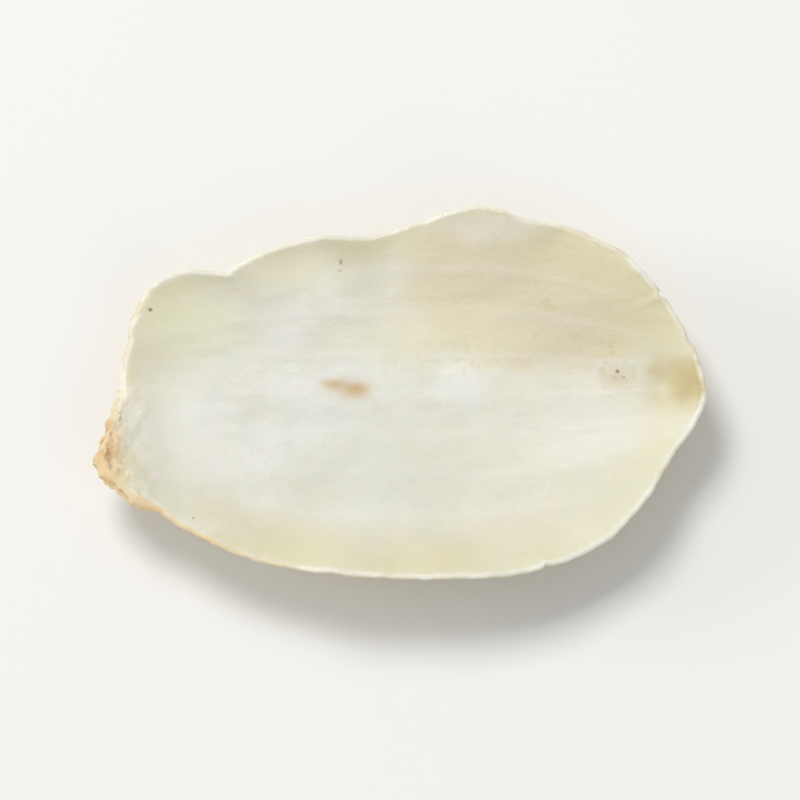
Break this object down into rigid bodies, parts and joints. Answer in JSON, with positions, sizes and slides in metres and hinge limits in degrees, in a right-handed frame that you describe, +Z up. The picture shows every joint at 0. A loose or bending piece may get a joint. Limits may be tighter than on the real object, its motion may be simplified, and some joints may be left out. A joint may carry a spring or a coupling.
{
  "type": "dried lily bulb scale",
  "caption": "Dried, detached scale of a lily bulb: a dished, ivory, horny blade with a thin waved margin, lying hollow side up.",
  "frame": {"origin": "on the surface the scale lies on, below the middle of its bounding box", "axes": "+X from the broken base end to the blunt tip, +Y across the blade, +Z up, out of the hollow side"},
  "size_m": [0.034, 0.0216, 0.0057],
  "materials": {
    "dried_scale": null
  },
  "bodies": {
    "root": {"lily_bulb_scale": "dried_scale"}
  },
  "joints": []
}
